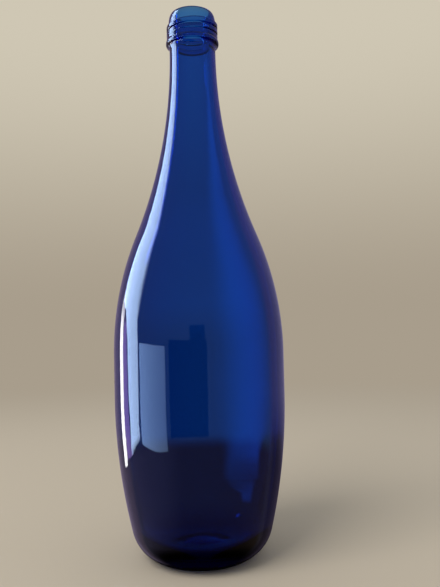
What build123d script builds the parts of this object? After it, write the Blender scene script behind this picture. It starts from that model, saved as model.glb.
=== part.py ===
# Tall blown bottle of cobalt glass with a 28 mm screw finish, standing empty and open.
# Millimetres, +Z up. The origin is the centre of the foot, on the plane that the bottle stands on.
import os
from math import sqrt

from build123d import *

# Overall
total_height = 287.8
body_diameter = 89.2
neck_diameter = 24.6

# Outer side, foot to neck: heel arc, flank arc, straight barrel, shoulder arc, reversed neck arc
heel_radius = 20.0
heel_trim = 0.6
flank_radius = 298.0
barrel_foot_height = 84.0
barrel_top_height = 105.5
shoulder_radius = 162.0

# Foot: a narrow ring carries the bottle, and the base is pushed up inside it
bearing_width = 1.6
push_up = 4.5

# Finish, from the rim down: lip, thread root, knife step and its band, locking bead, flare out of the neck
root_diameter = 24.94
lip_round_width = 2.3
lip_round_height = 5.0
mouth_chamfer = 0.6
root_foot_depth = 12.0
knife_step_height = 0.6
knife_step_diameter = 27.3
knife_band_height = 2.3
bead_slope_height = 0.9
bead_diameter = 28.3
bead_height = 1.75
flare_height = 3.3

# Cavity: the glass is thickest in the base and thinnest at the rim's bore
bore_diameter = 18.6
bore_length = 22.0
body_wall = 3.3
base_thickness = 5.2
inner_heel_radius = 17.5
inner_heel_floor = 6.2

# Worked out from the sizes above
body_radius = body_diameter / 2
neck_radius = neck_diameter / 2
root_radius = root_diameter / 2
bead_radius = bead_diameter / 2
bore_radius = bore_diameter / 2
heel_centre_height = heel_radius - heel_trim
knife_step_depth = root_foot_depth + knife_step_height
band_foot_depth = knife_step_depth + knife_band_height
bead_top_depth = band_foot_depth + bead_slope_height
bead_foot_depth = bead_top_depth + bead_height
finish_height = bead_foot_depth + flare_height
neck_top_height = total_height - finish_height
bore_foot_height = total_height - bore_length
axis_x = 0


def heel_centre(girth, flank, heel, height):
    """Centre of a heel arc that lies at a height and runs tangent into the flank arc above it."""
    reach = sqrt((flank - heel) ** 2 - (barrel_foot_height - height) ** 2)
    return Vector(girth - flank + reach, height)


def along(start, end, length):
    """Point at a length from start on the line towards end, or past it."""
    return start + (end - start).normalized() * length


def side_line(girth, throat, throat_height, flank, heel, heel_height, shoulder):
    """Add the side's arcs from the heel arc's top to the throat, and return the two ends."""
    low_centre = Vector(girth - flank, barrel_foot_height)
    heel_middle = heel_centre(girth, flank, heel, heel_height)
    heel_top = along(low_centre, heel_middle, flank)
    barrel_foot = Vector(girth, barrel_foot_height)
    barrel_top = Vector(girth, barrel_top_height)
    throat_foot = Vector(throat, throat_height)
    # both arcs end upright, so their radii add up to a sum that the two ends fix
    fall = girth - throat
    rise = throat_height - barrel_top_height
    neck_sweep = (fall ** 2 + rise ** 2) / (2 * fall) - shoulder
    shoulder_centre = Vector(girth - shoulder, barrel_top_height)
    neck_centre = Vector(throat + neck_sweep, throat_height)
    turn = along(shoulder_centre, neck_centre, shoulder)
    RadiusArc(heel_top, barrel_foot, -flank)
    Line(barrel_foot, barrel_top)
    RadiusArc(barrel_top, turn, -shoulder)
    RadiusArc(turn, throat_foot, neck_sweep)
    return heel_top, throat_foot


def foot_line(heel_top):
    """Add the underside: pushed up base, bearing ring and the outer heel arc."""
    centre = heel_centre(body_radius, flank_radius, heel_radius, heel_centre_height)
    bearing_edge = Vector(centre.X + sqrt(heel_radius ** 2 - heel_centre_height ** 2), 0)
    bearing_inner = Vector(bearing_edge.X - bearing_width, 0)
    dome_radius = (bearing_inner.X ** 2 + push_up ** 2) / (2 * push_up)
    RadiusArc(Vector(axis_x, push_up), bearing_inner, dome_radius)
    Line(bearing_inner, bearing_edge)
    RadiusArc(bearing_edge, heel_top, -heel_radius)


def finish_line(throat_foot):
    """Add the outside of the finish: bead, knife band, thread root and rounded lip, to the axis."""
    bead_foot = Vector(bead_radius, total_height - bead_foot_depth)
    bead_top = Vector(bead_radius, total_height - bead_top_depth)
    band_foot = Vector(knife_step_diameter / 2, total_height - band_foot_depth)
    knife_step = Vector(knife_step_diameter / 2, total_height - knife_step_depth)
    root_foot = Vector(root_radius, total_height - root_foot_depth)
    lip_foot = Vector(root_radius, total_height - lip_round_height)
    lip_centre = Vector(root_radius - lip_round_width, total_height - lip_round_height)
    rim_edge = Vector(lip_centre.X, total_height)
    # the neck leaves upright and turns level under the bead, wider or narrower than the neck
    Bezier(throat_foot, Vector(throat_foot.X, bead_foot.Y), bead_foot)
    Line(bead_foot, bead_top)
    Line(bead_top, band_foot)
    Line(band_foot, knife_step)
    Line(knife_step, root_foot)
    Line(root_foot, lip_foot)
    EllipticalCenterArc(lip_centre, lip_round_width, lip_round_height, start_angle=0, arc_size=90)
    Line(rim_edge, Vector(axis_x, total_height))


def floor_line(heel_top):
    """Add the cavity's floor: a dome over the push up, its valley and the inner heel arc round them."""
    centre = heel_centre(inner_girth, inner_flank, inner_heel_radius, inner_heel_height)
    dome_top = Vector(axis_x, push_up + base_thickness)
    valley = Vector(centre.X, inner_heel_floor)
    # the valley is the dome's own arc turned over, so the two are level at their ends and meet halfway
    drop = dome_top.Y - valley.Y
    dome_radius = (valley.X ** 2 + drop ** 2) / (4 * drop)
    dome_edge = (dome_top + valley) / 2
    RadiusArc(dome_top, dome_edge, dome_radius)
    RadiusArc(dome_edge, valley, -dome_radius)
    RadiusArc(valley, heel_top, -inner_heel_radius)
    return dome_top


def mouth_line(bore_foot, floor_top):
    """Add the cavity's bore, the mouth's broken inner edge and the way back down the axis."""
    bore_top = Vector(bore_radius, total_height - mouth_chamfer)
    mouth = Vector(bore_radius + mouth_chamfer, total_height)
    Polyline(bore_foot, bore_top, mouth, Vector(axis_x, total_height), floor_top)


inner_girth = body_radius - body_wall
inner_flank = flank_radius - body_wall
inner_shoulder = shoulder_radius - body_wall
inner_heel_height = inner_heel_floor + inner_heel_radius

with BuildPart() as glass_bottle:
    # the outside, solid through
    with BuildSketch(Plane.XZ) as outside:
        with BuildLine():
            outer_heel_top, neck_top = side_line(
                body_radius, neck_radius, neck_top_height,
                flank_radius, heel_radius, heel_centre_height, shoulder_radius,
            )
            foot_line(outer_heel_top)
            finish_line(neck_top)
            Line(Vector(axis_x, total_height), Vector(axis_x, push_up))
        make_face()
    revolve(axis=Axis.Z)

    # the blown cavity, open through the bore
    with BuildSketch(Plane.XZ) as cavity:
        with BuildLine():
            inner_heel_top, bore_foot = side_line(
                inner_girth, bore_radius, bore_foot_height,
                inner_flank, inner_heel_radius, inner_heel_height, inner_shoulder,
            )
            floor_top = floor_line(inner_heel_top)
            mouth_line(bore_foot, floor_top)
        make_face()
    revolve(axis=Axis.Z, mode=Mode.SUBTRACT)

glass_bottle.part.label = "glass_bottle"

os.makedirs("parts", exist_ok=True)
export_step(glass_bottle.part, "parts/glass_bottle.step")

print("glass volume in cubic millimetres", round(glass_bottle.part.volume))
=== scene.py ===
import logging
import math
from dataclasses import dataclass, field
from enum import Enum

import bmesh
import bpy
from mathutils import Matrix, Vector


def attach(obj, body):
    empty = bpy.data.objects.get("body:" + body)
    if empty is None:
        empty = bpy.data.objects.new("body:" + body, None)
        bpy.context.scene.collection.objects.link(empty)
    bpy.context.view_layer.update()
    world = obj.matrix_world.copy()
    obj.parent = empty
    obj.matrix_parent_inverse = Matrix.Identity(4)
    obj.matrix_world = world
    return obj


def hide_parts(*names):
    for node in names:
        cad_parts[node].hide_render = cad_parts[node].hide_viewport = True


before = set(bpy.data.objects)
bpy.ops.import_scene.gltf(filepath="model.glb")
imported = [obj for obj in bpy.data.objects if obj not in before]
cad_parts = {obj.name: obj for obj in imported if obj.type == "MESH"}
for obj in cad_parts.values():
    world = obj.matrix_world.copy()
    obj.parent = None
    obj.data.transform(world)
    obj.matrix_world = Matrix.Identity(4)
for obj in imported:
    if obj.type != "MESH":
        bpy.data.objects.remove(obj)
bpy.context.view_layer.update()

LOG = logging.getLogger("cobalt_bottle")
MILLIMETRE = 0.001
CUBIC_METRE_IN_ML = 1e6
TURN = 2 * math.pi
TANGENT = 0.0
LEAST_RIDGE, LEAST_RADIUS = 1e-7, 1e-6
FADE_STEPS = 4

Point = tuple[float, float]


class Wall(Enum):
    """Which face of the blown wall a ring of the section lies on."""

    OUTSIDE = 0.0
    INSIDE = 1.0


class Seen(Enum):
    """How the bottle shows a lit card: mirrored in its skin, or through its wall."""

    MIRRORED = "mirrored"
    THROUGH = "through"


def linear(hex_colour: str) -> tuple[float, float, float, float]:
    """Turn an sRGB hex colour into the linear colour that Blender's sockets take.

    Args:
        hex_colour: The colour as "#rrggbb".

    Returns:
        Red, green, blue and alpha, each from 0 to 1.
    """
    parts = [int(hex_colour[i : i + 2], 16) / 255 for i in (1, 3, 5)]
    shares = [p / 12.92 if p <= 0.04045 else ((p + 0.055) / 1.055) ** 2.4 for p in parts]
    return (*shares, 1.0)


def add_node(
    tree: bpy.types.NodeTree, kind: str, feeds: dict[str | int, object] | None = None, **settings: object
) -> bpy.types.Node:
    """Add a node, set its options and feed its inputs.

    Args:
        tree: The tree that takes the node.
        kind: Blender's name for the node's type.
        feeds: What each input takes, by its name or number: a value, an output or a Term.
        settings: The node's own options.

    Returns:
        The new node.
    """
    node = tree.nodes.new(kind)
    for name, value in settings.items():
        setattr(node, name, value)
    for key, value in (feeds or {}).items():
        source = value.socket if isinstance(value, Term) else value
        if isinstance(source, bpy.types.NodeSocket):
            tree.links.new(source, node.inputs[key])
        else:
            node.inputs[key].default_value = source
    return node


@dataclass(frozen=True)
class Term:
    """A number in a node tree, which sums and products of numbers are written with."""

    tree: bpy.types.NodeTree
    socket: bpy.types.NodeSocket

    def worked(self, operation: str, *others: object) -> "Term":
        """Work this number out further.

        Args:
            operation: The Math node's operation.
            others: The operation's other numbers, as values or Terms.

        Returns:
            The result.
        """
        feeds = dict(enumerate((self, *others)))
        node = add_node(self.tree, "ShaderNodeMath", feeds, operation=operation)
        return Term(self.tree, node.outputs[0])

    def __add__(self, other: object) -> "Term":
        """Sum."""
        return self.worked("ADD", other)

    def __sub__(self, other: object) -> "Term":
        """Difference."""
        return self.worked("SUBTRACT", other)

    def __mul__(self, other: object) -> "Term":
        """Product."""
        return self.worked("MULTIPLY", other)

    def __truediv__(self, other: object) -> "Term":
        """Quotient."""
        return self.worked("DIVIDE", other)

    def faded(self, zero_at: object, one_at: object) -> "Term":
        """Turn this number into a smooth share.

        Args:
            zero_at: The number where the share is 0.
            one_at: The number where the share is 1.

        Returns:
            The share, from 0 to 1.
        """
        feeds = {"Value": self, "From Min": zero_at, "From Max": one_at}
        node = add_node(self.tree, "ShaderNodeMapRange", feeds, interpolation_type="SMOOTHSTEP")
        return Term(self.tree, node.outputs[0])


def spread(start: float, end: float, steps: int) -> list[float]:
    """Numbers at even steps from start to end, both included."""
    return [start + (end - start) * i / steps for i in range(steps + 1)]


def line(start: Point, end: Point, spacing: float) -> list[Point]:
    """Points along a straight line, at most a spacing apart."""
    steps = max(1, math.ceil(math.dist(start, end) / spacing))
    return list(zip(spread(start[0], end[0], steps), spread(start[1], end[1], steps)))


def arc(start: Point, end: Point, centre: Point, spacing: float) -> list[Point]:
    """Points along the shorter circular arc between two points, at most a spacing apart.

    Args:
        start: Where the arc starts.
        end: Where the arc ends.
        centre: The arc's centre.
        spacing: The largest step along the arc.

    Returns:
        The points, with both ends.
    """
    radius = math.dist(start, centre)
    first = math.atan2(start[1] - centre[1], start[0] - centre[0])
    last = math.atan2(end[1] - centre[1], end[0] - centre[0])
    turn = (last - first + math.pi) % TURN - math.pi
    steps = max(2, math.ceil(abs(turn) * radius / spacing))
    angles = spread(first, first + turn, steps)
    inner = [(centre[0] + radius * math.cos(a), centre[1] + radius * math.sin(a)) for a in angles[1:-1]]
    return [start, *inner, end]


def sweep(start: Point, corner: Point, end: Point, steps: int) -> list[Point]:
    """Points along a curve that is drawn towards a corner.

    Args:
        start: Where the curve starts.
        corner: What it leaves start towards, and comes into end from.
        end: Where the curve ends.
        steps: How many steps it has.

    Returns:
        The points, with both ends.
    """
    return [
        tuple((1 - t) ** 2 * a + 2 * t * (1 - t) * c + t**2 * b for a, c, b in zip(start, corner, end))
        for t in spread(0, 1, steps)
    ]


def cut_back(points: list[Point], length: float) -> list[Point]:
    """Shorten a run of points at its end.

    Args:
        points: The run.
        length: How much is taken off, along the run.

    Returns:
        The shorter run.
    """
    kept = list(points)
    while length > 0 and len(kept) > 1:
        step = math.dist(kept[-1], kept[-2])
        if step > length:
            share = length / step
            kept[-1] = tuple(a + (b - a) * share for a, b in zip(kept[-1], kept[-2]))
            return kept
        length -= step
        kept.pop()
    return kept


@dataclass
class WallSection:
    """The bottle's section in millimetres, from the axis under the base round the rim to the axis inside.

    An edge is how far its rounding reaches to each side, and a step is the most between two points.
    """

    total_height: float = 287.8
    body_diameter: float = 89.2
    neck_diameter: float = 24.6
    heel_radius: float = 20.0
    heel_trim: float = 0.6
    flank_radius: float = 298.0
    barrel_foot_height: float = 84.0
    barrel_top_height: float = 105.5
    shoulder_radius: float = 162.0
    bearing_width: float = 1.6
    push_up: float = 4.5
    root_diameter: float = 24.94
    lip_round_width: float = 2.3
    lip_round_height: float = 5.0
    mouth_chamfer: float = 0.6
    root_foot_depth: float = 12.0
    knife_step_height: float = 0.6
    knife_step_diameter: float = 27.3
    knife_band_height: float = 2.3
    bead_slope_height: float = 0.9
    bead_diameter: float = 28.3
    bead_height: float = 1.75
    flare_height: float = 3.3
    bore_diameter: float = 18.6
    bore_length: float = 22.0
    body_wall: float = 3.3
    base_thickness: float = 5.2
    inner_heel_radius: float = 17.5
    inner_heel_floor: float = 6.2
    bearing_inner_edge: float = 0.3
    bearing_outer_edge: float = 0.4
    bead_lower_edge: float = 0.8
    bead_upper_edge: float = 0.3
    band_foot_edge: float = 0.12
    knife_edge: float = 0.28
    root_foot_edge: float = 0.25
    mouth_edge: float = 0.2
    long_step: float = 2.8
    base_step: float = 1.5
    short_step: float = 0.9
    bearing_step: float = 0.4
    finish_step: float = 0.22
    flare_steps: int = 16
    lip_steps: int = 24
    edge_steps: int = 4

    def side(
        self, girth: float, throat: Point, flank: float, heel: float, heel_height: float, shoulder: float
    ) -> tuple[Point, Point, list[list[Point]]]:
        """Work out one face of the side, from the heel arc's top to the throat.

        Args:
            girth: The barrel's radius.
            throat: Where the neck arc ends, upright.
            flank: Radius of the flank arc.
            heel: Radius of the heel arc.
            heel_height: Height of the heel arc's centre.
            shoulder: Radius of the shoulder arc.

        Returns:
            The heel arc's centre and top, and the runs above it.
        """
        foot, top = self.barrel_foot_height, self.barrel_top_height
        reach = math.sqrt((flank - heel) ** 2 - (foot - heel_height) ** 2)
        heel_centre = (girth - flank + reach, heel_height)
        low_centre = (girth - flank, foot)
        share = flank / (flank - heel)
        heel_top = tuple(a + (b - a) * share for a, b in zip(low_centre, heel_centre))
        fall, rise = girth - throat[0], throat[1] - top
        neck = (fall**2 + rise**2) / (2 * fall) - shoulder
        shoulder_centre, neck_centre = (girth - shoulder, top), (throat[0] + neck, throat[1])
        share = shoulder / (shoulder + neck)
        turn = tuple(a + (b - a) * share for a, b in zip(shoulder_centre, neck_centre))
        runs = [
            arc(heel_top, (girth, foot), low_centre, self.long_step),
            line((girth, foot), (girth, top), self.long_step),
            arc((girth, top), turn, shoulder_centre, self.long_step),
            arc(turn, throat, neck_centre, self.long_step),
        ]
        return heel_centre, heel_top, runs

    def outer_runs(self) -> list[tuple[list[Point], float]]:
        """Work out the outside, from the axis under the base to the mouth.

        Returns:
            Its runs, each with the rounding of the edge after it.
        """
        top = self.total_height
        knife_depth = self.root_foot_depth + self.knife_step_height
        bead_foot_depth = knife_depth + self.knife_band_height + self.bead_slope_height + self.bead_height
        throat = (self.neck_diameter / 2, top - bead_foot_depth - self.flare_height)
        heel_height = self.heel_radius - self.heel_trim
        centre, heel_top, side = self.side(
            self.body_diameter / 2, throat, self.flank_radius, self.heel_radius, heel_height,
            self.shoulder_radius,
        )
        edge = (centre[0] + math.sqrt(self.heel_radius**2 - heel_height**2), 0.0)
        land = (edge[0] - self.bearing_width, 0.0)
        dome = (land[0] ** 2 + self.push_up**2) / (2 * self.push_up)
        bead_foot = (self.bead_diameter / 2, top - bead_foot_depth)
        bead_top = (bead_foot[0], bead_foot[1] + self.bead_height)
        band_foot = (self.knife_step_diameter / 2, bead_top[1] + self.bead_slope_height)
        knife = (band_foot[0], top - knife_depth)
        root = (self.root_diameter / 2, top - self.root_foot_depth)
        lip_foot = (root[0], top - self.lip_round_height)
        lip_centre = (root[0] - self.lip_round_width, lip_foot[1])
        width, height = self.lip_round_width, self.lip_round_height
        lip = [
            (lip_centre[0] + width * math.cos(a), lip_centre[1] + height * math.sin(a))
            for a in spread(0, TURN / 4, self.lip_steps)
        ]
        mouth = (self.bore_diameter / 2 + self.mouth_chamfer, top)
        base = arc((0.0, self.push_up), land, (0.0, self.push_up - dome), self.base_step)
        flare = sweep(throat, (throat[0], bead_foot[1]), bead_foot, self.flare_steps)
        return [
            (base, self.bearing_inner_edge),
            (line(land, edge, self.bearing_step), self.bearing_outer_edge),
            (arc(edge, heel_top, centre, self.short_step), TANGENT),
            *[(run, TANGENT) for run in side],
            (flare, self.bead_lower_edge),
            (line(bead_foot, bead_top, self.finish_step), self.bead_upper_edge),
            (line(bead_top, band_foot, self.finish_step), self.band_foot_edge),
            (line(band_foot, knife, self.finish_step), self.knife_edge),
            (line(knife, root, self.finish_step), self.root_foot_edge),
            (line(root, lip_foot, self.finish_step), TANGENT),
            (lip, TANGENT),
            (line((lip_centre[0], top), mouth, self.finish_step), self.mouth_edge),
        ]

    def inner_runs(self) -> list[tuple[list[Point], float]]:
        """Work out the inside, from the mouth to the axis over the base.

        Returns:
            Its runs, each with the rounding of the edge after it.
        """
        top = self.total_height
        girth = self.body_diameter / 2 - self.body_wall
        throat = (self.bore_diameter / 2, top - self.bore_length)
        centre, heel_top, side = self.side(
            girth, throat, self.flank_radius - self.body_wall, self.inner_heel_radius,
            self.inner_heel_floor + self.inner_heel_radius, self.shoulder_radius - self.body_wall,
        )
        dome_top = (0.0, self.push_up + self.base_thickness)
        valley = (centre[0], self.inner_heel_floor)
        drop = dome_top[1] - valley[1]
        dome = (valley[0] ** 2 + drop**2) / (4 * drop)
        middle = (valley[0] / 2, dome_top[1] - drop / 2)
        mouth = (throat[0] + self.mouth_chamfer, top)
        bore_top = (throat[0], top - self.mouth_chamfer)
        return [
            (line(mouth, bore_top, self.finish_step), self.mouth_edge),
            (line(bore_top, throat, self.long_step), TANGENT),
            *[(run[::-1], TANGENT) for run in side[::-1]],
            (arc(heel_top, valley, centre, self.short_step), TANGENT),
            (arc(valley, middle, (valley[0], valley[1] + dome), self.base_step), TANGENT),
            (arc(middle, dome_top, (0.0, dome_top[1] - dome), self.base_step), TANGENT),
        ]

    def rings(self) -> list[tuple[Point, Wall]]:
        """Join all runs and round their edges.

        Returns:
            Every ring's place in metres and the face that it lies on.
        """
        faces = ((self.outer_runs(), Wall.OUTSIDE), (self.inner_runs(), Wall.INSIDE))
        runs = [(run, rounding, face) for part, face in faces for run, rounding in part]
        rings: list[tuple[Point, Wall]] = []
        before = 0.0
        for run, rounding, face in runs:
            corner = run[-1]
            run = cut_back(run[::-1], before)[::-1]
            run = cut_back(run, rounding)
            if before:
                run = [*sweep(rings[-1][0], last_corner, run[0], self.edge_steps)[1:-1], *run]
            elif rings:
                run = run[1:]
            rings += [(point, face) for point in run]
            before, last_corner = rounding, corner
        return [((x * MILLIMETRE, z * MILLIMETRE), face) for (x, z), face in rings]

    def outline(self) -> bpy.types.Object:
        """Make the section as a chain of edges whose points know which face of the wall they lie on.

        Returns:
            The chain, which the wall is turned from.
        """
        rings = self.rings()
        mesh = bpy.data.meshes.new("wall_section")
        places = [(x, 0.0, z) for (x, z), _ in rings]
        mesh.from_pydata(places, [(i, i + 1) for i in range(len(places) - 1)], [])
        inside = mesh.attributes.new("inside", "FLOAT", "POINT")
        inside.data.foreach_set("value", [face.value for _, face in rings])
        piece = bpy.data.objects.new("cobalt_glass_bottle", mesh)
        bpy.context.scene.collection.objects.link(piece)
        return piece


@dataclass
class RuleTree:
    """A Geometry Nodes tree that shapes the bottle's wall by one rule.

    Its sizes are named inputs, and it ends by making copies real and giving the material.
    """

    title: str
    sizes: dict[str, float] = field(default_factory=dict)

    def begin(self) -> None:
        """Make the empty tree, its named inputs and its output."""
        self.tree = bpy.data.node_groups.new(self.title, "GeometryNodeTree")
        sockets = self.tree.interface
        sockets.new_socket(name="Geometry", in_out="INPUT", socket_type="NodeSocketGeometry")
        self.identifiers = {}
        for name, value in self.sizes.items():
            kind = "NodeSocketInt" if isinstance(value, int) else "NodeSocketFloat"
            self.identifiers[name] = sockets.new_socket(
                name=name, in_out="INPUT", socket_type=kind
            ).identifier
        self.identifiers["Material"] = sockets.new_socket(
            name="Material", in_out="INPUT", socket_type="NodeSocketMaterial"
        ).identifier
        sockets.new_socket(name="Geometry", in_out="OUTPUT", socket_type="NodeSocketGeometry")
        self.start = add_node(self.tree, "NodeGroupInput")

    def size(self, name: str) -> Term:
        """One of the tree's named inputs."""
        return Term(self.tree, self.start.outputs[name])

    def value(self, kind: str, output: str | int = 0, feeds: dict | None = None, **settings: object) -> Term:
        """A new node's output as a number.

        Args:
            kind: Blender's name for the node's type.
            output: The output's name or number.
            feeds: What the node's inputs take.
            settings: The node's own options.

        Returns:
            The output.
        """
        return Term(self.tree, add_node(self.tree, kind, feeds, **settings).outputs[output])

    def place(self) -> tuple[Term, Term, Term]:
        """Read where each point lies.

        Returns:
            Its x, y and z.
        """
        position = self.value("GeometryNodeInputPosition")
        parts = add_node(self.tree, "ShaderNodeSeparateXYZ", {0: position})
        return tuple(Term(self.tree, output) for output in parts.outputs)

    def inside(self) -> Term:
        """1 on the wall's inner face and 0 on its outer one."""
        feeds = {"Name": "inside"}
        return self.value("GeometryNodeInputNamedAttribute", "Attribute", feeds, data_type="FLOAT")

    def outside(self) -> Term:
        """1 on the wall's outer face and 0 on its inner one."""
        return self.inside() * -1.0 + 1.0

    def moved(self, geometry: object, x: object, y: object, z: object) -> Term:
        """Shift every point.

        Args:
            geometry: The geometry.
            x: The shift along X.
            y: The shift along Y.
            z: The shift along Z.

        Returns:
            The shifted geometry.
        """
        shift = self.value("ShaderNodeCombineXYZ", 0, {0: x, 1: y, 2: z})
        return self.value("GeometryNodeSetPosition", 0, {"Geometry": geometry, "Offset": shift})

    def shaped(self, geometry: Term) -> Term:
        """Apply the rule; each kind of tree has its own."""
        raise NotImplementedError

    def apply(self, piece: bpy.types.Object, material: bpy.types.Material) -> None:
        """Build the tree, hang it on a piece and set its inputs.

        Args:
            piece: The piece that takes it as a modifier.
            material: The material given at the tree's end.
        """
        self.begin()
        shaped = self.shaped(Term(self.tree, self.start.outputs["Geometry"]))
        real = self.value("GeometryNodeRealizeInstances", 0, {0: shaped})
        dressed = self.value(
            "GeometryNodeSetMaterial", 0, {"Geometry": real, "Material": self.start.outputs["Material"]}
        )
        add_node(self.tree, "NodeGroupOutput", {0: dressed})
        modifier = piece.modifiers.new(self.title, "NODES")
        modifier.node_group = self.tree
        for name, value in self.sizes.items():
            modifier[self.identifiers[name]] = value
        modifier[self.identifiers["Material"]] = material


@dataclass
class TurnedWall(RuleTree):
    """Turns the wall's section about the bottle's axis into one closed skin."""

    title: str = "turned_wall"
    sizes: dict[str, float] = field(default_factory=lambda: {"Columns": 240, "Weld Distance": 1e-6})

    def shaped(self, geometry: Term) -> Term:
        """Lay the section's rings round the axis and weld the seam and the two poles.

        Args:
            geometry: The section.

        Returns:
            The closed wall.
        """
        count = self.value("GeometryNodeAttributeDomainSize", "Point Count", {"Geometry": geometry})
        columns = self.size("Columns")
        grid = self.value(
            "GeometryNodeMeshGrid", "Mesh", {"Vertices X": columns + 1.0, "Vertices Y": count}
        )
        index = self.value("GeometryNodeInputIndex")
        column = ((index + 0.5) / count).worked("FLOOR")
        ring = index - column * count
        samples = {"Geometry": geometry, "Index": ring}
        place = self.value(
            "GeometryNodeSampleIndex", 0,
            {**samples, "Value": self.value("GeometryNodeInputPosition")}, data_type="FLOAT_VECTOR",
        )
        inside = self.value(
            "GeometryNodeSampleIndex", 0, {**samples, "Value": self.inside()}, data_type="FLOAT"
        )
        parts = add_node(self.tree, "ShaderNodeSeparateXYZ", {0: place})
        radius, height = Term(self.tree, parts.outputs[0]), parts.outputs[2]
        angle = column / columns * TURN
        target = self.value(
            "ShaderNodeCombineXYZ", 0,
            {0: radius * angle.worked("COSINE"), 1: radius * angle.worked("SINE"), 2: height},
        )
        marked = self.value(
            "GeometryNodeStoreNamedAttribute", 0, {"Geometry": grid, "Name": "inside", "Value": inside},
            data_type="FLOAT", domain="POINT",
        )
        turned = self.value("GeometryNodeSetPosition", 0, {"Geometry": marked, "Position": target})
        welded = self.value(
            "GeometryNodeMergeByDistance", 0, {"Geometry": turned, "Distance": self.size("Weld Distance")}
        )
        return self.value("GeometryNodeSetShadeSmooth", 0, {"Geometry": welded})


@dataclass
class ScrewThread(RuleTree):
    """Raises the finish's one right-handed thread, which runs in and out of the root smoothly."""

    title: str = "screw_thread"
    sizes: dict[str, float] = field(
        default_factory=lambda: {
            "Start Height": 0.2806,
            "Pitch": 0.003175,
            "Root Radius": 0.01247,
            "Ridge Height": 0.00123,
            "Foot Width": 0.0034,
            "Flank Width": 0.0008,
            "First Turn": -0.12,
            "Last Turn": 1.62,
            "Run In": 0.11,
        }
    )

    def turn_crest(self, turn: Term, place: Term, share: Term) -> Term:
        """How much of the ridge's height one turn of the helix has at each point.

        Args:
            turn: The turn's number.
            place: Where the point lies, counted in turns down the thread.
            share: The point's share of a turn round the axis.

        Returns:
            The share of the ridge's height.
        """
        passed = turn - share
        half_foot = self.size("Foot Width") * 0.5
        away = (place - turn).worked("ABSOLUTE") * self.size("Pitch")
        crest = away.faded(half_foot, half_foot - self.size("Flank Width"))
        run_in = passed.faded(self.size("First Turn"), self.size("First Turn") + self.size("Run In"))
        run_out = passed.faded(self.size("Last Turn"), self.size("Last Turn") - self.size("Run In"))
        return crest * run_in * run_out

    def shaped(self, geometry: Term) -> Term:
        """Push the outer wall out where one of the two nearest turns of the helix passes.

        Args:
            geometry: The wall.

        Returns:
            The wall with its thread.
        """
        x, y, z = self.place()
        share = y.worked("ARCTAN2", x) / TURN
        place = (self.size("Start Height") - z) / self.size("Pitch") + share
        above = place.worked("FLOOR")
        crest = self.turn_crest(above, place, share).worked(
            "MAXIMUM", self.turn_crest(above + 1.0, place, share)
        )
        ridge = crest * self.size("Ridge Height")
        radius = (x * x + y * y).worked("SQRT")
        rise = (self.size("Root Radius") + ridge - radius).worked("MAXIMUM", 0.0)
        rise = rise * ridge.worked("GREATER_THAN", LEAST_RIDGE) * self.outside()
        stretch = rise / radius.worked("MAXIMUM", LEAST_RADIUS)
        return self.moved(geometry, x * stretch, y * stretch, 0.0)


@dataclass
class FootStipple(RuleTree):
    """Cuts shallow notches between the nubs of the ring that the bottle stands on."""

    title: str = "foot_stipple"
    sizes: dict[str, float] = field(
        default_factory=lambda: {
            "Nubs": 60,
            "Notch Depth": 0.0002,
            "Inner Radius": 0.0196,
            "Outer Radius": 0.0242,
            "Fade": 0.0009,
            "Reach": 0.0025,
        }
    )

    def shaped(self, geometry: Term) -> Term:
        """Lift the bearing ring between nubs, so that only the nubs touch the ground.

        Args:
            geometry: The wall.

        Returns:
            The wall with its stippled ring.
        """
        x, y, z = self.place()
        radius = (x * x + y * y).worked("SQRT")
        wave = (y.worked("ARCTAN2", x) * self.size("Nubs")).worked("COSINE")
        notch = (wave * -1.0 + 1.0) * self.size("Notch Depth") * 0.5
        inner, outer, fade = self.size("Inner Radius"), self.size("Outer Radius"), self.size("Fade")
        band = radius.faded(inner - fade, inner) * radius.faded(outer + fade, outer)
        low = z.faded(self.size("Reach"), self.size("Reach") * 0.5)
        return self.moved(geometry, 0.0, 0.0, notch * band * low * self.outside())


@dataclass
class BlownWaves(RuleTree):
    """Lets the wall's inner face wander, as glass does where only air shaped it."""

    title: str = "blown_waves"
    sizes: dict[str, float] = field(
        default_factory=lambda: {
            "Depth": 0.00035,
            "Waves Per Metre": 26.0,
            "Upright Stretch": 3.2,
            "Seed": 7.3,
            "Bore Foot": 0.262,
            "Fade": 0.03,
            "Axis Fade": 0.012,
        }
    )

    def shaped(self, geometry: Term) -> Term:
        """Move the inner face along its normal by a slow noise, drawn out upwards.

        Args:
            geometry: The wall.

        Returns:
            The wall with its uneven inner face.
        """
        x, y, z = self.place()
        stretched = self.value("ShaderNodeCombineXYZ", 0, {0: x, 1: y, 2: z / self.size("Upright Stretch")})
        noise = self.value(
            "ShaderNodeTexNoise", 0,
            {"Vector": stretched, "W": self.size("Seed"), "Scale": self.size("Waves Per Metre"),
             "Detail": 1.0, "Roughness": 0.4},
            noise_dimensions="4D",
        )
        below = z.faded(self.size("Bore Foot"), self.size("Bore Foot") - self.size("Fade"))
        off_axis = (x * x + y * y).worked("SQRT").faded(0.0, self.size("Axis Fade"))
        depth = (noise - 0.5) * self.size("Depth") * self.inside() * below * off_axis
        normal = self.value("GeometryNodeInputNormal")
        shift = self.value("ShaderNodeVectorMath", 0, {0: normal, "Scale": depth}, operation="SCALE")
        return self.value("GeometryNodeSetPosition", 0, {"Geometry": geometry, "Offset": shift})


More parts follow.
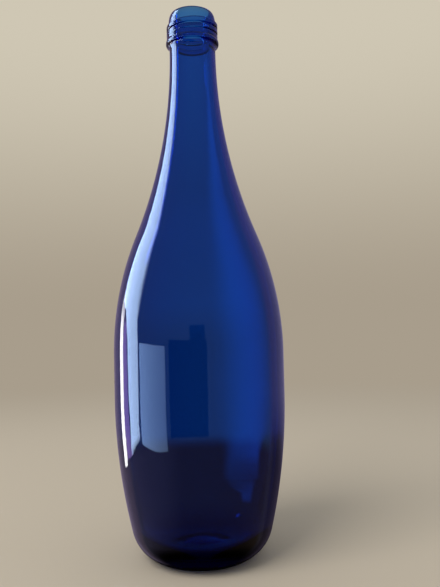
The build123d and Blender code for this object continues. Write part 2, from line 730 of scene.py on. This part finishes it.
@dataclass(frozen=True)
class CobaltGlass:
    """Soda-lime glass coloured through with cobalt oxide, blown in a polished mould.

    It looks clear and fire-polished, and the longer light's way through it, the deeper the blue.
    """

    passes: str = "#38bdee"
    density: float = 950.0
    ior: float = 1.52
    polish: float = 0.012
    scuff: float = 0.10
    heel_wear_height: float = 0.010
    scuffed_share: tuple[float, float] = (0.48, 0.66)
    waves_per_metre: float = 70.0
    wave_stretch: float = 0.25
    wave_depth: float = 0.035
    ripples_per_metre: float = 330.0
    ripple_depth: float = 0.003
    scuffs_per_metre: float = 420.0
    seam_turn: float = 12 / 360
    seam_width: float = 0.00022
    seam_depth: float = 0.05

    def material(self) -> bpy.types.Material:
        """Make the glass: its absorption, fire polish, slow waves, mould seam and worn heel.

        Returns:
            The glass.
        """
        material = bpy.data.materials.new("blow_moulded_cobalt_soda_lime_glass")
        material.use_nodes = True
        tree = material.node_tree
        tree.nodes.clear()
        place = add_node(tree, "ShaderNodeTexCoord").outputs["Object"]
        parts = add_node(tree, "ShaderNodeSeparateXYZ", {0: place})
        x, y, z = (Term(tree, output) for output in parts.outputs)
        drawn = add_node(
            tree, "ShaderNodeMapping", {"Vector": place, "Scale": (1.0, 1.0, self.wave_stretch)}
        ).outputs[0]

        # each pattern's place, patches in a metre, finer layers and how strong those are
        patterns = []
        for where, scale, layers, strength in (
            # waves left by the blow, about 14 mm wide and four times as tall, hundredths of a mm deep
            (drawn, self.waves_per_metre, 2.0, 0.45),
            # the mould's chill leaves a skin of ripples about 3 mm apart, thousandths of a mm deep
            (place, self.ripples_per_metre, 3.0, 0.5),
            # the heel is scuffed in patches where it has slid on shelves
            (place, self.scuffs_per_metre, 4.0, 0.65),
        ):
            feeds = {"Vector": where, "Scale": scale, "Detail": layers, "Roughness": strength}
            patterns.append(Term(tree, add_node(tree, "ShaderNodeTexNoise", feeds).outputs[0]))
        waves, skin, patches = patterns

        # the two halves of the mould meet in a fine upright line on opposite sides
        seam_angle = self.seam_turn * TURN
        off_seam = (x * math.sin(seam_angle) - y * math.cos(seam_angle)) / self.seam_width
        seam = (off_seam * off_seam * -1.0).worked("EXPONENT")
        height = waves * self.wave_depth + skin * self.ripple_depth + seam * self.seam_depth
        bump = add_node(
            tree, "ShaderNodeBump", {"Height": height, "Strength": 1.0, "Distance": MILLIMETRE}
        )

        wear = z.faded(self.heel_wear_height, 0.0) * patches.faded(*self.scuffed_share)
        roughness = wear * self.scuff + self.polish

        shader = add_node(
            tree, "ShaderNodeBsdfPrincipled",
            {"Base Color": linear("#ffffff"), "Roughness": roughness, "Normal": bump.outputs[0],
             "IOR": self.ior, "Transmission Weight": 1.0},
        )
        colour = add_node(
            tree, "ShaderNodeVolumeAbsorption", {"Color": linear(self.passes), "Density": self.density}
        )
        add_node(
            tree, "ShaderNodeOutputMaterial", {"Surface": shader.outputs[0], "Volume": colour.outputs[0]}
        )
        return material


@dataclass
class GlassBottle:
    """The whole bottle: one blown piece of glass with its screw finish and stippled foot."""

    section: WallSection = field(default_factory=WallSection)
    rules: list[RuleTree] = field(
        default_factory=lambda: [TurnedWall(), BlownWaves(), ScrewThread(), FootStipple()]
    )

    def build(self, material: bpy.types.Material) -> None:
        """Turn the section into the finished piece and put it on its body.

        Args:
            material: The glass.
        """
        piece = self.section.outline()
        for rule in self.rules:
            rule.apply(piece, material)
        made = bpy.data.meshes.new_from_object(
            piece.evaluated_get(bpy.context.evaluated_depsgraph_get())
        )
        piece.modifiers.clear()
        piece.data = made
        self.face_outwards(made)
        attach(piece, "root")
        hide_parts("glass_bottle")
        LOG.info("%s: %d faces", piece.name, len(made.polygons))

    @staticmethod
    def face_outwards(mesh: bpy.types.Mesh) -> None:
        """Turn every face of a closed mesh outwards.

        Args:
            mesh: The mesh.
        """
        work = bmesh.new()
        work.from_mesh(mesh)
        bmesh.ops.recalc_face_normals(work, faces=work.faces)
        open_edges = sum(edge.is_boundary for edge in work.edges)
        LOG.info("open edges: %d, volume %.1f mL", open_edges, work.calc_volume() * CUBIC_METRE_IN_ML)
        work.to_mesh(mesh)
        work.free()


@dataclass(frozen=True)
class StudioPaint:
    """Matt studio paint: the same pale tone lit near the bottle and plain far away,
    with a painted shade round the foot that only rays through the glass meet.

    Its fades are distances from the bottle's axis, in metres.
    """

    near: str = "#c9c0b0"
    horizon: str = "#a89d8c"
    zenith: str = "#cfc7b4"
    # painted shade: the dark tone that rays through the glass meet on the floor round the foot
    painted_foot_shade: str = "#954a3f"
    fade_from: float = 0.30
    fade_to: float = 0.95
    foot_fade_from: float = 0.265
    foot_fade_to: float = 0.355

    def floor_material(self) -> bpy.types.Material:
        """Make the floor's paint, which keeps the bottle's shadow and runs out into the horizon's tone.

        Returns:
            The paint.
        """
        material = bpy.data.materials.new("matt_studio_floor_paint")
        material.use_nodes = True
        tree = material.node_tree
        tree.nodes.clear()
        place = add_node(tree, "ShaderNodeTexCoord").outputs["Object"]
        length = add_node(tree, "ShaderNodeVectorMath", {0: place}, operation="LENGTH")
        away = Term(tree, length.outputs["Value"])
        far = away.faded(self.fade_from, self.fade_to)
        near_foot = away.faded(self.foot_fade_from, self.foot_fade_to)
        lit = add_node(tree, "ShaderNodeBsdfDiffuse", {"Color": linear(self.near)})
        plain = add_node(tree, "ShaderNodeEmission", {"Color": linear(self.horizon), "Strength": 1.0})
        # painted shade: through the wall, the floor round the foot is a fixed dark tone in place of the
        # shade that the bottle stands in
        shade = add_node(
            tree, "ShaderNodeEmission", {"Color": linear(self.painted_foot_shade), "Strength": 1.0}
        )
        through = add_node(tree, "ShaderNodeLightPath").outputs["Is Transmission Ray"]
        bare = add_node(tree, "ShaderNodeMixShader", {0: far, 1: lit.outputs[0], 2: plain.outputs[0]})
        under = add_node(
            tree, "ShaderNodeMixShader", {0: near_foot, 1: shade.outputs[0], 2: plain.outputs[0]}
        )
        joined = add_node(
            tree, "ShaderNodeMixShader", {0: through, 1: bare.outputs[0], 2: under.outputs[0]}
        )
        add_node(tree, "ShaderNodeOutputMaterial", {"Surface": joined.outputs[0]})
        return material


@dataclass(frozen=True)
class Surroundings:
    """What lies round the studio: a pale gradient to look at, an even light, and dim tones to mirror,
    with a painted shade under the foot.

    Bearings and side blurs are in degrees. The other pairs are parts of a ray's direction: where a tone
    starts to show, and where it shows fully.
    """

    even_light: float = 0.5
    ahead: str = "#6c89b3"
    behind_left: str = "#9586a2"
    behind_right: str = "#877fa1"
    low: str = "#62544c"
    low_left: str = "#8580a6"
    low_right: str = "#4a4152"
    # painted shade: the near-black tone that the glass mirrors under and behind its foot
    painted_underfoot_shade: str = "#0b0907"
    dark: str = "#020203"
    dark_bearings: tuple[float, float] = (-10.0, 39.5)
    dark_side_blur: float = 0.5
    dark_foot: tuple[float, float] = (-0.284, -0.268)
    dark_top: tuple[float, float] = (0.076, 0.064)
    tall_dark_bearings: tuple[float, float] = (-8.0, 12.0)
    tall_dark_side_blur: float = 1.5
    tall_dark_foot: tuple[float, float] = (0.0, 0.02)
    tall_dark_top: tuple[float, float] = (0.19, 0.17)
    behind_fade: tuple[float, float] = (0.2, 0.5)
    right_fade: tuple[float, float] = (-0.1, 0.1)
    low_fade: tuple[float, float] = (-0.256, -0.316)
    low_left_fade: tuple[float, float] = (-0.35, -0.9)
    low_right_fade: tuple[float, float] = (-0.1, -0.3)
    behind_low_fade: tuple[float, float] = (-0.325, -0.36)
    behind_low_reach: tuple[float, float] = (0.34, 0.20)
    underfoot_fade: tuple[float, float] = (-0.5, -0.85)
    zenith_rise: float = 0.42

    @staticmethod
    def between(bearing: Term, limits: tuple[float, float], blur: float) -> Term:
        """1 where a bearing lies between two limits and 0 elsewhere, with soft sides."""
        first, last = limits
        return bearing.faded(first - blur, first + blur) * bearing.faded(last + blur, last - blur)

    def mirrored(self, tree: bpy.types.NodeTree, direction: bpy.types.NodeSocket) -> bpy.types.NodeSocket:
        """Work out the dim tones that the glass mirrors.

        Args:
            tree: The world's tree.
            direction: Where each ray goes.

        Returns:
            The colour that each ray meets.
        """
        parts = add_node(tree, "ShaderNodeSeparateXYZ", {0: direction})
        x, y, z = (Term(tree, output) for output in parts.outputs)
        bearing = (x * -1.0).worked("ARCTAN2", y * -1.0) * (360 / TURN)
        dark = self.between(bearing, self.dark_bearings, self.dark_side_blur)
        dark = dark * z.faded(*self.dark_foot) * z.faded(*self.dark_top)
        tall = self.between(bearing, self.tall_dark_bearings, self.tall_dark_side_blur)
        tall = tall * z.faded(*self.tall_dark_foot) * z.faded(*self.tall_dark_top)
        behind, right = y.faded(*self.behind_fade), x.faded(*self.right_fade)
        low = (behind * -1.0 + 1.0) * z.faded(*self.low_fade)
        behind_low = behind * z.faded(*self.behind_low_fade)
        tone: object = linear(self.ahead)
        for share, colour in (
            (behind, self.behind_left),
            (behind * right, self.behind_right),
            (behind * right * z.faded(*self.low_right_fade), self.low_right),
            (low, self.low),
            (low * x.faded(*self.low_left_fade), self.low_left),
            # painted shade below and behind the foot
            (behind_low * x.worked("ABSOLUTE").faded(*self.behind_low_reach), self.painted_underfoot_shade),
            (z.faded(*self.underfoot_fade), self.painted_underfoot_shade),
            (dark.worked("MAXIMUM", tall), self.dark),
        ):
            tone = add_node(
                tree, "ShaderNodeMix", {0: share, 6: tone, 7: linear(colour)}, data_type="RGBA"
            ).outputs[2]
        return tone

    def world(self, paint: StudioPaint) -> bpy.types.World:
        """Make the world.

        Args:
            paint: The backdrop's tones.

        Returns:
            The world.
        """
        world = bpy.data.worlds.new("studio_surroundings")
        world.use_nodes = True
        tree = world.node_tree
        tree.nodes.clear()
        direction = add_node(tree, "ShaderNodeTexCoord").outputs["Generated"]
        up = Term(tree, add_node(tree, "ShaderNodeSeparateXYZ", {0: direction}).outputs[2])
        tone = add_node(
            tree, "ShaderNodeMix",
            {0: up.faded(0.0, self.zenith_rise), 6: linear(paint.horizon), 7: linear(paint.zenith)},
            data_type="RGBA",
        ).outputs[2]
        rays = add_node(tree, "ShaderNodeLightPath").outputs
        seen = Term(tree, rays["Is Camera Ray"]).worked("MAXIMUM", rays["Is Transmission Ray"])
        pale = add_node(tree, "ShaderNodeBackground", {"Color": tone, "Strength": 1.0})
        even = add_node(
            tree, "ShaderNodeBackground", {"Color": linear("#ffffff"), "Strength": self.even_light}
        )
        dim = add_node(
            tree, "ShaderNodeBackground", {"Color": self.mirrored(tree, direction), "Strength": 1.0}
        )
        unlit = add_node(
            tree, "ShaderNodeMixShader", {0: rays["Is Glossy Ray"], 1: even.outputs[0], 2: dim.outputs[0]}
        )
        joined = add_node(tree, "ShaderNodeMixShader", {0: seen, 1: unlit.outputs[0], 2: pale.outputs[0]})
        add_node(tree, "ShaderNodeOutputWorld", {"Surface": joined.outputs[0]})
        return world


@dataclass(frozen=True)
class Softbox:
    """The one flat lamp that lights the matt floor, aimed at the bottle's middle.

    Its bearing is measured from the camera's side round to the left, in degrees.
    """

    name: str = "key_softbox"
    bearing: float = 45.0
    distance: float = 1.35
    height: float = 1.5
    side: float = 1.2
    colour: str = "#fff8ee"
    radiance: float = 5.0
    aim_height: float = 0.12

    def build(self) -> None:
        """Make the lamp; its own shape isn't mirrored in the glass."""
        data = bpy.data.lights.new(self.name, "AREA")
        data.size = self.side
        data.color = linear(self.colour)[:3]
        data.energy = self.radiance * math.pi * self.side**2
        lamp = bpy.data.objects.new(self.name, data)
        angle = math.radians(self.bearing)
        away = Vector((-math.sin(angle), -math.cos(angle), 0.0))
        lamp.location = away * self.distance + Vector((0, 0, self.height))
        lamp.rotation_mode = "QUATERNION"
        lamp.rotation_quaternion = (lamp.location - Vector((0, 0, self.aim_height))).to_track_quat("Z", "Y")
        lamp.visible_camera = False
        lamp.visible_glossy = lamp.visible_transmission = False
        bpy.context.scene.collection.objects.link(lamp)
        LOG.info("lamp %s", self.name)


@dataclass(frozen=True)
class CardRow:
    """One line across a card: bearings in degrees, heights in metres, glow where 1 is white.

    The fades are how many degrees the glow takes to run out at each edge, and the sag is how far
    the line's middle hangs below its ends.
    """

    left: float
    right: float
    left_height: float
    right_height: float
    left_glow: float
    right_glow: float
    left_fade: float = 1.2
    right_fade: float = 1.2
    sag: float = 0.0

    def blended(self, other: "CardRow", share: float) -> "CardRow":
        """A line between this one and another."""
        return CardRow(*(a + (b - a) * share for a, b in zip(vars(self).values(), vars(other).values())))

    def points(self, columns: int) -> list[tuple[float, float, float]]:
        """Bearing, height and glow at each column.

        Args:
            columns: How many columns lie between the two fades.

        Returns:
            The points, from the left edge to the right one.
        """
        span = self.right - self.left
        shares = spread(0.0, 1.0, FADE_STEPS)
        first = [((t - 0.5) * self.left_fade / abs(span), t) for t in shares]
        last = [(1 - (t - 0.5) * self.right_fade / abs(span), t) for t in reversed(shares)]
        middle = [(s, 1.0) for s in spread(first[-1][0], last[0][0], columns + 1)[1:-1]]
        points = []
        # the line sags as a parabola does, and its glow eases in and out at the edges
        for s, t in [*first, *middle, *last]:
            height = self.left_height + (self.right_height - self.left_height) * s
            glow = self.left_glow + (self.right_glow - self.left_glow) * min(max(s, 0.0), 1.0)
            points.append(
                (self.left + span * s, height - self.sag * 4 * s * (1 - s), glow * t * t * (3 - 2 * t))
            )
        return points


def level(
    left: float, right: float, height: float, glow: float, left_fade: float = 1.2, right_fade: float = 1.2
) -> CardRow:
    """A level line of even glow across a card."""
    return CardRow(left, right, height, height, glow, glow, left_fade, right_fade)


@dataclass(frozen=True)
class ReflectionCard:
    """A glowing sheet of diffuser cloth, bent round the bottle, that shows as a highlight in the glass.

    Its bearings are measured from the camera's side round to the left, in degrees.
    """

    name: str
    colour: str
    rows: tuple[CardRow, ...]
    seen: Seen = Seen.MIRRORED
    distance: float = 0.5
    lines_between: int = 4
    columns: int = 16

    def material(self) -> bpy.types.Material:
        """Make the cloth: light that is added to what lies behind it, as strong as the sheet's own glow.

        Returns:
            The cloth.
        """
        material = bpy.data.materials.new(f"lit_diffuser_cloth_{self.name}")
        material.use_nodes = True
        material.cycles.emission_sampling = "NONE"
        tree = material.node_tree
        tree.nodes.clear()
        glow = add_node(tree, "ShaderNodeAttribute", attribute_name="glow").outputs["Fac"]
        light = add_node(tree, "ShaderNodeEmission", {"Color": linear(self.colour), "Strength": glow})
        clear = add_node(tree, "ShaderNodeBsdfTransparent", {"Color": linear("#ffffff")})
        both = add_node(tree, "ShaderNodeAddShader", {0: light.outputs[0], 1: clear.outputs[0]})
        add_node(tree, "ShaderNodeOutputMaterial", {"Surface": both.outputs[0]})
        return material

    def build(self) -> None:
        """Make the sheet and leave it to the glass alone."""
        lines = [self.rows[0]]
        for row in self.rows[1:]:
            lines += [lines[-1].blended(row, share) for share in spread(0.0, 1.0, self.lines_between)[1:-1]]
            lines.append(row)
        grid = [row.points(self.columns) for row in lines]
        places, glows = [], []
        for bearing, height, glow in (point for points in grid for point in points):
            angle = math.radians(bearing)
            places.append((-math.sin(angle) * self.distance, -math.cos(angle) * self.distance, height))
            glows.append(glow)
        wide = len(grid[0])
        faces = [
            (i * wide + j, i * wide + j + 1, (i + 1) * wide + j + 1, (i + 1) * wide + j)
            for i in range(len(grid) - 1) for j in range(wide - 1)
        ]
        mesh = bpy.data.meshes.new(self.name)
        mesh.from_pydata(places, [], faces)
        mesh.attributes.new("glow", "FLOAT", "POINT").data.foreach_set("value", glows)
        mesh.materials.append(self.material())
        card = bpy.data.objects.new(self.name, mesh)
        card.visible_camera = card.visible_diffuse = card.visible_shadow = False
        card.visible_volume_scatter = False
        card.visible_glossy = self.seen is Seen.MIRRORED
        card.visible_transmission = self.seen is Seen.THROUGH
        bpy.context.scene.collection.objects.link(card)
        LOG.info("card %s", self.name)


SKY_BLUE, WHITE, DUSK_BLUE, VIOLET, SEA_GREEN = "#b8d5ff", "#ffffff", "#9cc3ff", "#b995ff", "#95ffed"

# each card's rows run from its top edge down
CARDS = (
    ReflectionCard("wide_diffuser", SKY_BLUE, (
        level(117.0, 90.0, 0.960, 0.0, 2.0, 9.0),
        level(117.0, 90.0, 0.900, 9.0, 2.0, 9.0),
        level(120.5, 90.6, 0.555, 10.0, 2.0, 9.0),
        level(122.5, 88.4, 0.450, 10.0, 2.0, 9.0),
        level(125.0, 86.8, 0.365, 10.0, 2.0, 9.0),
        level(125.5, 87.0, 0.270, 10.0, 2.0, 8.0),
        level(125.0, 87.0, 0.212, 10.0, 2.0, 5.0),
        level(114.0, 87.0, 0.196, 10.0, 2.0, 3.0),
        level(110.0, 86.0, 0.172, 10.0),
        level(105.0, 84.0, 0.128, 10.0),
        level(103.5, 83.6, 0.037, 10.0),
        CardRow(101.5, 84.6, -0.013, -0.020, 10.0, 10.0),
        CardRow(103.7, 84.0, -0.068, -0.045, 10.0, 10.0),
        CardRow(104.6, 84.3, -0.089, -0.057, 4.0, 4.0),
        CardRow(104.6, 84.3, -0.092, -0.060, 0.0, 0.0),
    )),
    ReflectionCard("edge_glow", SKY_BLUE, (
        level(99.5, 92.4, 0.575, 0.0, 2.0, 9.0),
        level(99.5, 92.4, 0.555, 14.0, 2.0, 9.0),
        level(99.5, 92.4, 0.405, 14.0, 2.0, 9.0),
        level(99.5, 92.4, 0.365, 0.0, 2.0, 9.0),
    ), Seen.THROUGH, 0.496),
    ReflectionCard("strip_diffuser", WHITE, (
        level(127.0, 116.0, 0.262, 0.0),
        level(127.5, 117.0, 0.235, 0.5),
        level(128.0, 118.0, 0.200, 3.0),
        level(127.0, 117.6, 0.166, 6.0),
        level(125.0, 116.0, 0.125, 8.0),
        level(125.0, 116.0, -0.030, 8.0),
        level(126.0, 116.5, -0.081, 8.0),
        CardRow(126.5, 119.0, -0.099, -0.101, 8.0, 8.0),
        CardRow(126.5, 119.3, -0.102, -0.104, 0.0, 0.0),
    ), distance=0.504),
    ReflectionCard("gap_glow", VIOLET, (
        level(115.5, 108.0, 0.172, 2.2),
        CardRow(115.5, 103.0, -0.095, -0.090, 2.2, 2.2),
    ), distance=0.508),
    ReflectionCard("low_window", DUSK_BLUE, (
        CardRow(81.0, 43.0, 0.128, 0.124, 0.0, 0.0),
        CardRow(81.0, 43.0, 0.125, 0.121, 6.2, 2.7),
        CardRow(81.0, 43.0, 0.030, 0.015, 6.2, 2.7),
        CardRow(81.0, 43.0, -0.067, -0.094, 6.2, 2.7, 1.2, 1.2, 0.010),
        CardRow(81.0, 43.0, -0.070, -0.098, 0.0, 0.0, 1.2, 1.2, 0.010),
    )),
    ReflectionCard("backdrop_glow", SEA_GREEN, (
        level(196.0, 204.0, 0.327, 0.00, 6.0, 6.0),
        level(196.0, 204.0, 0.318, 0.28, 6.0, 6.0),
        level(195.0, 203.0, 0.291, 0.40, 6.0, 6.0),
        level(191.0, 199.0, 0.268, 0.46, 6.0, 6.0),
        level(187.0, 195.5, 0.221, 0.38, 6.0, 6.0),
        level(187.0, 196.5, 0.198, 0.40, 7.0, 7.0),
        level(187.5, 198.5, 0.175, 0.43, 8.0, 8.0),
        level(188.5, 202.5, 0.152, 0.45, 10.0, 11.0),
        level(189.5, 204.5, 0.129, 0.48, 12.0, 12.0),
        level(191.0, 206.0, 0.099, 0.50, 13.0, 12.0),
        level(191.0, 207.0, 0.069, 0.52, 14.0, 13.0),
        level(191.0, 205.0, 0.039, 0.50, 12.0, 10.0),
        CardRow(189.6, 203.0, 0.030, 0.030, 0.40, 0.64, 7.0, 5.0),
        CardRow(189.0, 202.0, 0.021, 0.021, 0.24, 0.62, 4.5, 3.0),
        CardRow(188.4, 202.0, 0.012, 0.012, 0.18, 0.26, 3.5, 3.0),
        CardRow(188.2, 202.0, 0.005, 0.005, 0.15, 0.18, 3.5, 3.0),
        level(188.2, 202.0, 0.001, 0.08, 3.5, 3.0),
    ), Seen.THROUGH, 0.15),
    ReflectionCard("backdrop_haze", SEA_GREEN, (
        level(165.0, 200.0, 0.222, 0.00, 14.0, 14.0),
        level(162.0, 203.0, 0.190, 0.10, 16.0, 16.0),
        level(158.0, 206.0, 0.135, 0.12, 18.0, 18.0),
        level(158.0, 206.0, 0.108, 0.00, 18.0, 18.0),
    ), Seen.THROUGH, 0.147),
    ReflectionCard("backdrop_tail", SEA_GREEN, (
        level(195.0, 211.0, 0.0235, 0.00, 4.0, 4.0),
        CardRow(194.5, 211.0, 0.0195, 0.0195, 0.09, 0.18, 4.0, 4.0),
        CardRow(196.5, 210.0, 0.0155, 0.0155, 0.05, 0.25, 4.0, 3.0),
        CardRow(202.5, 209.5, 0.0125, 0.0125, 0.24, 0.28, 4.0, 3.0),
        CardRow(203.0, 209.0, 0.0090, 0.0090, 0.28, 0.26, 3.0, 3.0),
        level(203.0, 209.0, 0.0055, 0.00, 3.0, 3.0),
    ), Seen.THROUGH, 0.075),
)


@dataclass
class Studio:
    """The floor, the pale surroundings, the lamp and the cards that the glass mirrors."""

    paint: StudioPaint = field(default_factory=StudioPaint)
    surroundings: Surroundings = field(default_factory=Surroundings)
    key: Softbox = field(default_factory=Softbox)
    cards: tuple[ReflectionCard, ...] = CARDS
    floor_radius: float = 60.0
    floor_sides: int = 96

    def build(self) -> None:
        """Make the floor, the world, the lamp and every card."""
        mesh = bpy.data.meshes.new("studio_floor")
        work = bmesh.new()
        bmesh.ops.create_circle(
            work, cap_ends=True, radius=self.floor_radius, segments=self.floor_sides
        )
        work.to_mesh(mesh)
        work.free()
        mesh.materials.append(self.paint.floor_material())
        floor = bpy.data.objects.new("studio_floor", mesh)
        bpy.context.scene.collection.objects.link(floor)
        floor.visible_glossy = False
        bpy.context.scene.world = self.surroundings.world(self.paint)
        self.key.build()
        for card in self.cards:
            card.build()
        LOG.info("studio built")


@dataclass(frozen=True)
class PhotoCamera:
    """The camera at the photograph's own place, found from the bottle's outline."""

    distance: float = 0.3459
    height: float = 0.1260
    pitch: float = 1.83
    roll: float = -1.31
    yaw: float = 1.96
    focal_pixels: float = 650.0
    long_side_pixels: float = 587.0
    sensor: float = 36.0
    clip: tuple[float, float] = (0.01, 100.0)

    def build(self) -> None:
        """Make the camera and make it the scene's own."""
        data = bpy.data.cameras.new("photo_camera")
        data.sensor_width = self.sensor
        data.lens = self.focal_pixels * self.sensor / self.long_side_pixels
        data.clip_start, data.clip_end = self.clip
        camera = bpy.data.objects.new("photo_camera", data)
        pitch, roll, yaw = (math.radians(a) for a in (self.pitch, self.roll, self.yaw))
        ahead = Vector(
            (math.sin(yaw) * math.cos(pitch), math.cos(yaw) * math.cos(pitch), math.sin(pitch))
        )
        across = Vector((math.cos(yaw), -math.sin(yaw), 0.0))
        upright = across.cross(ahead)
        right = across * math.cos(roll) + upright * math.sin(roll)
        up = upright * math.cos(roll) - across * math.sin(roll)
        turned = Matrix((right, up, -ahead)).transposed().to_4x4()
        camera.matrix_world = Matrix.Translation((0.0, -self.distance, self.height)) @ turned
        bpy.context.scene.collection.objects.link(camera)
        bpy.context.scene.camera = camera


def main() -> None:
    """Build the camera, the bottle and its studio in order."""
    logging.basicConfig(level=logging.INFO, format="%(name)s: %(message)s")
    bpy.context.scene.view_settings.view_transform = "Standard"
    PhotoCamera().build()
    GlassBottle().build(CobaltGlass().material())
    Studio().build()


if __name__ == "__main__":
    main()
